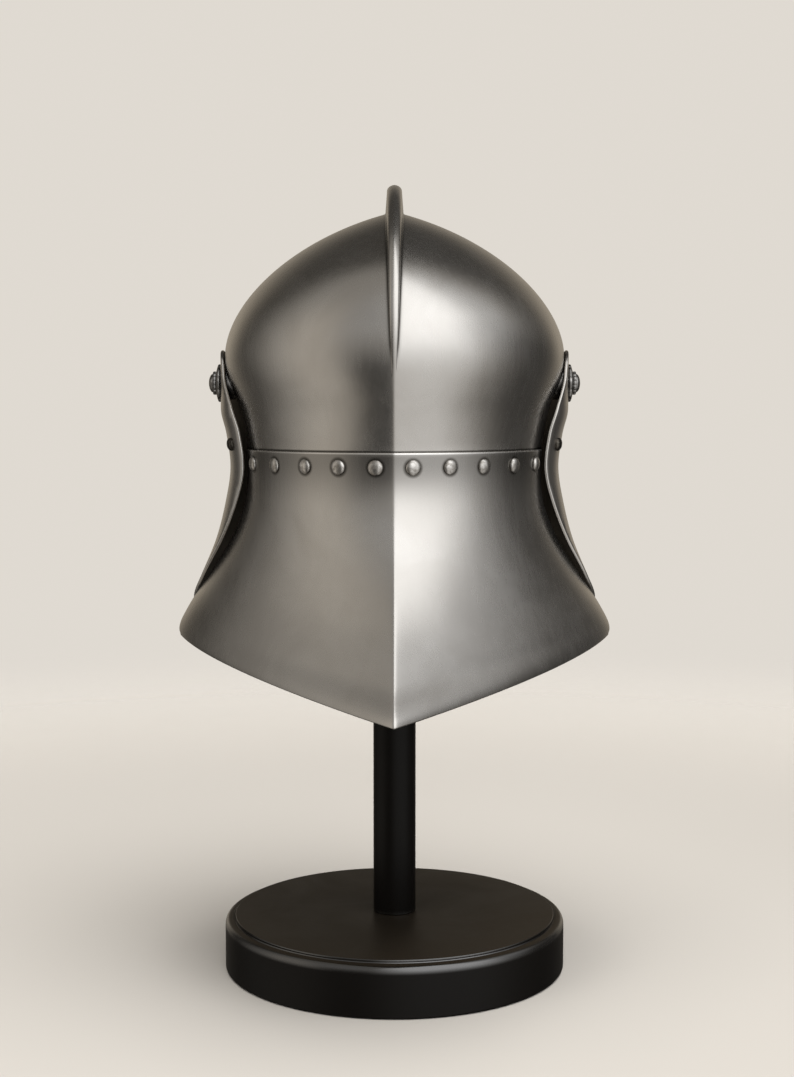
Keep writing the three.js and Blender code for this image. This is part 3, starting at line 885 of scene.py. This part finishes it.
def makeVisor(material):
    low = rimHeight + visor["lift"] + edgeRound
    sight = browZ - visor["sightGap"] - edgeRound
    top = pivotZ + visor["earRadius"] + visor["levelStep"]
    heights = [*np.linspace(low, sight, round((sight - low) / visor["levelStep"])),
               *np.linspace(sight, top, round((top - sight) / visor["levelStep"]))[1:]]
    ahead = evenShares(lambda share: visorPlace(share, seamZ - 40, True), visor["step"])
    behind = wrapShare(np.arange(visor["step"], wrapBack + 2 * visor["step"], visor["step"]))
    rows = []
    for z in heights:
        left = np.column_stack(visorPlace(-behind[::-1], z, False))
        middle = np.column_stack(visorPlace(ahead, z, True))
        right = np.column_stack(visorPlace(behind, z, False))
        rows.append(np.vstack([left, middle, right]))
    pairs, faces = sheetPairs(rows)
    makePlate("visorPlate", pairs, faces, sideDistance(visorOutline()), material, "visor", "visor_plate")


# Rivets: hammered domes, each with a shank and a burr inside

tailRivet = {
    "radius": 4.6,
    "height": 2.6,
    "shank": 1.8,
    "burr": 1.0,
    "edge": 0.35,  # height of the dome's edge
    "dented": 0.16,
    "grip": 2 * plate + 2 * seatGap,
}
visorRivet = {**tailRivet, "radius": 4.2, "height": 2.8, "grip": plate}
sides = table("name node sign", ("Left", "left", -1), ("Right", "right", 1))
hand = random.Random(11)


def seatOn(surface, a, b, sign):
    step = 1e-3
    place = surface(a, b)
    outward = np.cross(surface(a + step, b) - place, surface(a, b + step) - place)
    outward /= np.linalg.norm(outward)
    if outward[0] * sign < 0:
        outward = -outward
    return place, outward


def tailRivetSeat(share, sign):
    return seatOn(tailPlace, sign * share, tail["rivetDrop"] / tailHeight, sign)


def visorRivetSeat(sign):
    share = wrapShare(visor["rivetBack"] * wrapBack)
    return seatOn(lambda a, z: visorPlace(a, z, False), sign * share, pivotZ - visor["rivetDrop"], sign)


def rivetMesh(info):
    inside = -info["grip"] - 2 * seatGap
    radius = info["radius"] * hand.uniform(0.97, 1.0)
    height = info["height"] * hand.uniform(0.92, 1.0)
    burr = 2 * info["shank"]
    lean = hand.uniform(0, 2 * math.pi)
    edge = info["edge"]
    dome = [(radius * math.cos(turn), edge + (height - edge) * math.sin(turn) ** 0.92)
            for turn in np.radians(np.linspace(0, 84, 13))]
    profile = [
        (0, inside - info["burr"]),
        (0.6 * burr, inside - 0.96 * info["burr"]),
        (0.9 * burr, inside - 0.7 * info["burr"]),
        (burr, inside - 0.3 * info["burr"]),
        (0.97 * burr, inside),
        (info["shank"], inside),
        (info["shank"], -seatGap),
        (0.93 * radius, -seatGap),
        (0.985 * radius, 0.05),
        *dome,
        (0, height),
    ]
    points, faces = turned(profile, 40)
    dents = np.array([noise.noise(Vector((p[0] * 0.45 + 9 * lean, p[1] * 0.45, p[2] * 0.2))) for p in points])
    above = points[:, 2] > seatGap
    middle = 1 - np.hypot(points[above, 0], points[above, 1]) / (1.05 * radius)
    points[above, 2] += info["dented"] * dents[above] * middle
    return points, faces, lean


def makeRivet(name, node, seat, info, material, body):
    points, faces, spin = rivetMesh(info)
    place, outward = seat
    turn = Vector(outward).to_track_quat("Z", "Y").to_matrix() @ Matrix.Rotation(spin, 3, "Z")
    points = points @ np.array(turn).T + place
    makePiece(name, points, faces, material, body, node, 50)


rivetInfo = {
    "bright": {"colour": grey(0.62, 0.03), "shade": grey(0.34, 0.06), "roughness": 0.32},
    "dark": {"colour": grey(0.105, 0.1), "shade": grey(0.035, 0.12), "roughness": 0.36},
}
rivetPitDepth = 0.00003


def rivetFinish(graph, place, info):
    patches = graph.grain(place, 420.0, 3.0, 0.6, 0.4)
    pits = graph.grain(place, 2600.0, 2.0, 0.6)
    fine = graph.grain(place, 900.0, 2.0, 0.5)
    worn = graph.ease(patches, 0.34, 0.66)
    return {
        "Base Color": graph.mix(worn, info["shade"], info["colour"]),
        "Metallic": 1.0,
        "Roughness": info["roughness"] + 0.16 * (0.5 - worn) + 0.08 * (fine - 0.5),
        "Normal": graph.bump(0.7 * pits + 0.3 * fine, rivetPitDepth),
    }


# Pivots: spacer, scalloped rosette and beaded bolt at each temple

pivot = {
    "boltRadius": 3.0,
    "headRadius": 7.6,
    "headHeight": 5.0,
    "beadCount": 14,
    "beadDepth": 0.5,
    "rosetteRadius": 12.0,
    "rosetteThickness": 2.4,
    "rosetteLobes": 8,
    "lobeDepth": 1.1,
    "spacerRadius": 10.5,
    "spacerDepth": 8.0,  # before it is fitted to the skull
    "nutRadius": 6.0,
    "nutHeight": 2.2,
}
pivotInfo = {
    "colour": grey(0.24, 0.03),
    "worn": grey(0.58, 0.02),
    "shade": grey(0.06, 0.05),
    "roughness": 0.3,
    "scratchDepth": 0.00004,
}


def gunmetalFinish(graph, place, info):
    patches = graph.grain(place, 260.0, 4.0, 0.6, 0.5)
    fine = graph.grain(place, 1500.0, 3.0, 0.6)
    worn = graph.ease(patches, 0.5, 0.72)
    base = graph.mix(graph.ease(patches, 0.25, 0.5), info["shade"], info["colour"])
    return {
        "Base Color": graph.mix(0.7 * worn, base, info["worn"]),
        "Metallic": 1.0,
        "Roughness": info["roughness"] - 0.12 * worn + 0.12 * (fine - 0.5),
        "Normal": graph.bump(fine, info["scratchDepth"]),
    }


def atBolt(points, fromMiddle, sign):
    # +Z of a turned piece becomes outward along X at the bolt
    out = sign * (points[:, 2] + fromMiddle)
    return np.column_stack([out, templeForward + points[:, 0] * sign, pivotZ + points[:, 1]])


def makeFitting(name, side, points, faces, material):
    faces = facingOut(points, faces, points.mean(axis=0))
    node = "pivot_" + name.lower() + "_" + side["node"]
    makePiece("pivot" + name + side["name"], points, faces, material, "root", node, 50)


def skullSide(y, z):
    # how far from the middle the skull's side is, near a temple
    shares = np.sin(np.radians(np.linspace(90, 40, 200)))
    found = []
    for ahead, height in zip(y - templeForward, z):
        depth, point = skullEnds(ahead > 0)
        girth = float(neckShare(height))
        share = np.interp(abs(ahead) / (depth * girth), sectionDepth(shares, point), shares)
        found.append(share * halfWidth * girth)
    return np.array(found)


def makeSpacer(side, material):
    earCurve = earX * (1 - wrapShare(pivot["spacerRadius"]))
    face = earX - plate - seatGap - 1.5 * earCurve
    hole = pivot["boltRadius"] + seatGap
    radius = pivot["spacerRadius"]
    deep = pivot["spacerDepth"]
    corners = [(hole, 0, 0.3), (radius, 0, 0.8), (radius, -deep, 0.5), (hole, -deep, 0.3)]
    points, faces = turned(roundedProfile(corners, 5)[::-1], 64)
    points = atBolt(points, face, side["sign"])
    # its inner face follows the skull
    wall = skullSide(points[:, 1], points[:, 2]) + seatGap
    share = (np.abs(points[:, 0]) - (face - deep)) / deep
    points[:, 0] = side["sign"] * (wall + (face - wall) * share)
    makeFitting("Spacer", side, points, faces, material)


def lobed(count, depth, radius, sharpness):
    # pulls a ring in between its lobes, more and more towards the outside
    def reach(angle, at, height):
        between = 1 - abs(math.cos(count * angle / 2)) ** sharpness
        return at - depth * between * (at / radius) ** 3, height

    return reach


def makeRosette(side, material):
    hole = pivot["boltRadius"] + seatGap
    radius = pivot["rosetteRadius"]
    thick = pivot["rosetteThickness"]
    corners = [
        (hole, 0, 0.2),
        (radius, 0, 0.5),
        (radius, 0.62 * thick, 0.6),
        (0.8 * radius, thick, 0.9),
        (0.66 * radius, 0.93 * thick, 0.5),
        (hole, 0.93 * thick, 0.2),
    ]
    reach = lobed(pivot["rosetteLobes"], pivot["lobeDepth"], radius, 0.8)
    points, faces = turned(roundedProfile(corners, 5), 16 * pivot["rosetteLobes"], reach)
    makeFitting("Rosette", side, atBolt(points, earX + seatGap, side["sign"]), faces, material)


def makeBolt(side, material):
    headRadius = pivot["headRadius"]
    headHeight = pivot["headHeight"]
    start = earX + 2 * seatGap + pivot["rosetteThickness"]
    nutFace = halfWidth * float(neckShare(pivotZ)) - 4 * plate - start
    nutRadius = pivot["nutRadius"]
    corners = [
        (0, nutFace - pivot["nutHeight"], 0),
        (nutRadius, nutFace - pivot["nutHeight"], 0.6),
        (nutRadius, nutFace, 0.5),
        (pivot["boltRadius"], nutFace, 0.2),
        (pivot["boltRadius"], 0, 0.2),
        (0.97 * headRadius, 0, 0.3),
        (headRadius, 0.22 * headHeight, 0.45),
        (0.97 * headRadius, 0.44 * headHeight, 0.4),
        (0.8 * headRadius, 0.42 * headHeight, 0.4),
    ]
    dome = [(0.78 * headRadius * math.cos(turn), headHeight * (0.46 + 0.54 * math.sin(turn)))
            for turn in np.radians(np.linspace(4, 86, 12))]
    beads = lobed(pivot["beadCount"], pivot["beadDepth"], headRadius, 0.7)

    def reach(angle, at, height):
        return beads(angle, at, height) if at > 0.86 * headRadius and height >= 0 else (at, height)

    profile = [*roundedProfile(corners, 5), *dome, (0, headHeight)]
    points, faces = turned(profile, 14 * pivot["beadCount"], reach)
    makeFitting("Bolt", side, atBolt(points, start, side["sign"]), faces, material)


# Stand: a round base with a raised disc, and a pole up into the crown

stand = {
    "baseRadius": 109.0,
    "baseHeight": 34.0,
    "discRadius": 102.5,
    "discStep": 1.6,
    "groove": 0.8,
    "shoulder": 5.0,
    "poleRadius": 13.6,
    "spigotRadius": 8.0,
    "spigotLength": 18.0,
    "headRadius": 30.0,
    "headHeight": 36.0,
}
standInfo = {
    "paint": (0.005, 0.0043, 0.0037, 1),
    # dust and painted reflection: the upward faces are browner, standing both for dust and for the room
    # reflected in the top
    "dusty": (0.034, 0.026, 0.017, 1),
    "dust": 0.65,
    "specks": 0.4,
    "roughness": 0.36,
    "shine": 0.12,
    "rubbed": 0.9,  # coat on the shoulder, where hands polish it
    "rubbedRoughness": 0.13,
    "rubbedIor": 2.2,
    "peelDepth": 0.00002,
}


def paintFinish(graph, place, info):
    peel = graph.grain(place, 620.0, 2.0, 0.5)
    cloud = graph.grain(place, 14.0, 4.0, 0.6, 0.8)
    speck = graph.ease(graph.grain(place, 1900.0, 1.0, 0.5), 0.7, 0.76)
    flat = graph.ease(graph.height(graph.node("NewGeometry", output="Normal")), 0.7, 0.98)
    # dust and painted reflection of the room, on the upward faces
    dust = flat * (0.7 + 0.3 * graph.ease(cloud, 0.3, 0.75))
    height = graph.height(place)
    top = stand["baseHeight"]
    shoulder = top - stand["discStep"] - stand["shoulder"]
    rubbed = graph.ease(height, (shoulder - 1) * mm, (shoulder + 2) * mm) * (1 - flat)
    rubbed = rubbed * (1 - graph.ease(height, top * mm, (top + 3) * mm))
    return {
        "Base Color": graph.mix(info["dust"] * dust + info["specks"] * speck * flat,
                                info["paint"], info["dusty"]),
        "Roughness": info["roughness"] + 0.14 * (cloud - 0.5) + 0.16 * dust,
        "Specular IOR Level": info["shine"],
        "Coat Weight": info["rubbed"] * rubbed,
        "Coat Roughness": info["rubbedRoughness"],
        "Coat IOR": info["rubbedIor"],
        "Normal": graph.bump(peel, info["peelDepth"]),
    }


def makeBase(material):
    radius = stand["baseRadius"]
    tall = stand["baseHeight"]
    disc = stand["discRadius"]
    step = tall - stand["discStep"]
    groove = stand["groove"]
    socket = stand["spigotRadius"] + seatGap
    floor = tall - stand["spigotLength"] - seatGap
    corners = [
        (0, 0, 0),
        (radius - 1, 0, 0.5),
        (radius, 1.2, 0.6),
        (radius, step, stand["shoulder"]),
        (disc + 2 * groove, step, 0.2),
        (disc + 1.6 * groove, step - groove, 0.25),
        (disc + 0.5 * groove, step - groove, 0.25),
        (disc, step, 0.2),
        (disc, tall, 0.5),
        (socket, tall, 0.3),
        (socket, floor, 0.3),
        (0, floor, 0),
    ]
    points, faces = turned(roundedProfile(corners, 6), 192)
    makePiece("standBase", points, faces, material, "root", "stand_base", 40)


def crownInside(radius):
    # lowest height of the skull's inside on a circle round the pole
    angles = np.linspace(10, 170, 240)
    lowest = np.inf
    for around in np.radians(np.linspace(0, 345, 24)):
        x, y = radius * math.cos(around), radius * math.sin(around)
        depth, sidePoint = skullEnds(angles > 90)
        turn = np.radians(angles)
        point = sidePoint + (skull["roofShare"] - sidePoint) * np.sin(turn) ** 2
        scale = sectionDepth(x / (halfWidth - plate), point)
        ahead = templeForward - (depth - plate) * scale * np.cos(turn)
        height = widestZ + (domeHeight - plate) * scale * np.sin(turn)
        lowest = min(lowest, float(np.interp(y, ahead, height)))
    return lowest


def makePole(material):
    tall = stand["baseHeight"]
    pole = stand["poleRadius"]
    head = stand["headRadius"]
    top = widestZ + domeHeight - plate - seatGap
    bottom = top - stand["headHeight"]
    rise = 0.25 * stand["headHeight"]
    cap = [(radius, crownInside(radius) - seatGap) for radius in np.linspace(head - 1, 2, 12)]
    corners = [
        (0, tall - stand["spigotLength"], 0),
        (stand["spigotRadius"], tall - stand["spigotLength"], 0.8),
        (stand["spigotRadius"], tall + seatGap, 0.1),
        (pole, tall + seatGap, 0.4),
        (pole, bottom, 3.0),
        (head, bottom + rise, 1.5),
        (head, cap[0][1] - 1, 0.6),
    ]
    profile = [*roundedProfile(corners, 5), *cap, (0, cap[-1][1])]
    points, faces = turned(profile, 72)
    makePiece("standPole", points, faces, material, "root", "stand_pole", 40)


# Put the helmet together

tailSeats = [tailRivetSeat(share, 1)[0] for share in tail["rivetShares"]]
skullSeamShadow = table(
    "from to soft ragged share colour",
    # painted shadow: a dark line on the skull just above the tail's top edge, where the seam's shade falls
    (seamZ - 9, seamZ + 1.1, 0.9, 0.5, 0.9, grey(0.05, 0.1)),
)
tailPatinaAndHighlight = table(
    "from to soft ragged share colour",
    (seamZ - 19, seamZ + 20, 30, 12, 0.62, grey(0.17, 0.05)),
    # painted highlight: a bright line along the tail's top edge, as if its rounded edge caught the light
    (seamZ - 0.9, seamZ + 20, 0.8, 0.2, 0.9, grey(0.9, 0.02)),
)
skullSteel = newMaterial("skullSteel", steelFinish, steelInfo, skullSeamShadow)
tailSteel = newMaterial("tailSteel", steelFinish, steelInfo, tailPatinaAndHighlight, tailSeats)
visorSteel = newMaterial("visorSteel", steelFinish, steelInfo)
makeSkull(skullSteel)
print("skull made")
makeTail(tailSteel)
print("tail made")
makeVisor(visorSteel)
print("visor made")

rivetSteel = newMaterial("rivetSteel", rivetFinish, rivetInfo["bright"])
darkRivetSteel = newMaterial("darkRivetSteel", rivetFinish, rivetInfo["dark"])
for side in sides:
    for i, share in enumerate(tail["rivetShares"]):
        rivetName = "tailRivet" + side["name"] + str(i + 1)
        rivetNode = "tail_rivet_" + side["node"] + "_" + str(i + 1)
        makeRivet(rivetName, rivetNode, tailRivetSeat(share, side["sign"]), tailRivet, rivetSteel,
                  "root")
    makeRivet("visorRivet" + side["name"], "visor_rivet_" + side["node"], visorRivetSeat(side["sign"]),
              visorRivet, darkRivetSteel, "visor")
print("rivets set")

gunmetal = newMaterial("gunmetal", gunmetalFinish, pivotInfo)
for side in sides:
    makeSpacer(side, gunmetal)
    makeRosette(side, gunmetal)
    makeBolt(side, gunmetal)
print("pivots fitted")

blackPaint = newMaterial("blackPaint", paintFinish, standInfo)
makeBase(blackPaint)
makePole(blackPaint)
print("stand made")


# Studio: a pale floor that fades into a pale backdrop, soft lights

studio = {
    "fadeFrom": 0.25,
    "fadeTo": 1.5,
    "paleFrom": 0.2,
    "paleTo": 1.3,
    "floor": grey(0.56, 0.05),
    "farFloor": grey(0.86, 0.05),
    "cloud": grey(0.6, 0.06),
    "backdrop": grey(0.7, 0.06),
    "room": grey(0.3, 0.06),
}
# What the steel reflects, by degrees round from the camera (right is positive) and degrees up
screens = table(
    "around up soft colour",
    ((-200, 200), (78, 120), (1, 24), grey(0.15, 0.04)),
    ((-112, 8), (-120, -30), (20, 40), grey(0.25, 0.08)),
    ((-90, -54), (-44, 40), (26, 40), grey(0.5, 0.08)),
    ((-54, -14), (14, 62), (30, 44), grey(0.36, 0.02)),
    ((-46, -12), (-80, 2), (20, 50), grey(0.05, 0.04)),
    ((0, 70), (-80, 0), (34, 44), grey(0.74, 0.02)),
    ((0, 104), (2, 66), (32, 60), grey(0.62, 0.0)),
    ((0, 74), (30, 98), (36, 12), grey(1.65, 0.0)),
    ((0, 68), (0, 60), (36, 60), grey(1.65, 0.0)),
    ((90, 230), (-120, 22), (44, 34), grey(0.05, 0.05)),
    ((118, 230), (14, 88), (34, 20), grey(0.05, 0.06)),
    ((-230, -112), (-120, 88), (34, 20), grey(0.05, 0.08)),
    ((-230, -142), (-8, 22), (24, 34), grey(0.4, 0.14)),
    ((142, 230), (-8, 22), (24, 34), grey(0.4, 0.14)),
)


def floorFinish(graph, place, info):
    away = graph.far(place, (0, 0, 0))
    further = graph.ease(away, info["paleFrom"], info["paleTo"])
    pale = graph.mix(further, info["floor"], info["farFloor"])
    cloudy = graph.mix(0.15 * graph.grain(place, 3.0, 2.0, 0.5), pale, info["cloud"])
    matt = graph.node("BsdfDiffuse", {}, {"Color": cloudy})
    clear = graph.node("BsdfTransparent")
    fade = graph.ease(away, info["fadeFrom"], info["fadeTo"])
    return graph.node("MixShader", {}, {0: fade, 1: matt, 2: clear})


def makeFloor(info):
    radius = 1.2 * info["fadeTo"] / mm
    points, faces = turned([(0, 0), (radius, 0), (radius, -2), (0, -2)], 96)
    floor = newObject("floor", points - (0, 0, 0.2), faces, newMaterial("floor", floorFinish, info))
    floor.visible_glossy = False


def makeWorld(info):
    world = bpy.data.worlds.new("studio")
    world.use_nodes = True
    graph = Graph(world.node_tree)
    direction = graph.node("TexCoord", output="Generated")
    parts = graph.node("SeparateXYZ", {}, {0: direction})
    right, away, up = parts, parts.output("Y"), parts.output("Z")
    around = right.maths("ARCTAN2", right, 0 - away) * (180 / math.pi)
    above = up.maths("ARCSINE", up, 0.0) * (180 / math.pi)
    colour = info["room"]
    for screen in screens:
        share = graph.window(around, *screen["around"], screen["soft"][0])
        share = share * graph.window(above, *screen["up"], screen["soft"][1])
        colour = graph.mix(share, colour, screen["colour"])
    seen = graph.node("LightPath", output="Is Camera Ray")
    colour = graph.mix(seen, colour, info["backdrop"])
    background = graph.node("Background", {}, {"Color": colour, "Strength": 1.0})
    graph.node("OutputWorld", {}, {"Surface": background})
    scene.world = world


def makeLight(name, place, aim, size, power, colour):
    data = bpy.data.lights.new(name, "AREA")
    data.shape = "DISK"
    data.size = size
    data.energy = power
    data.color = colour
    light = bpy.data.objects.new(name, data)
    light.location = place
    light.rotation_euler = (Vector(aim) - Vector(place)).to_track_quat("-Z", "Y").to_euler()
    light.visible_glossy = False
    scene.collection.objects.link(light)


makeFloor(studio)
makeWorld(studio)
makeLight("overhead", (0.3, -0.4, 2.6), (0, 0, 0), 2.4, 60.0, (1.0, 0.98, 0.95))
makeLight("fill", (-1.8, -1.6, 1.3), (0, 0, 0.25), 1.6, 14.0, (1.0, 0.98, 0.96))
scene.view_settings.view_transform = "Standard"
scene.view_settings.look = "None"
print("studio lit")
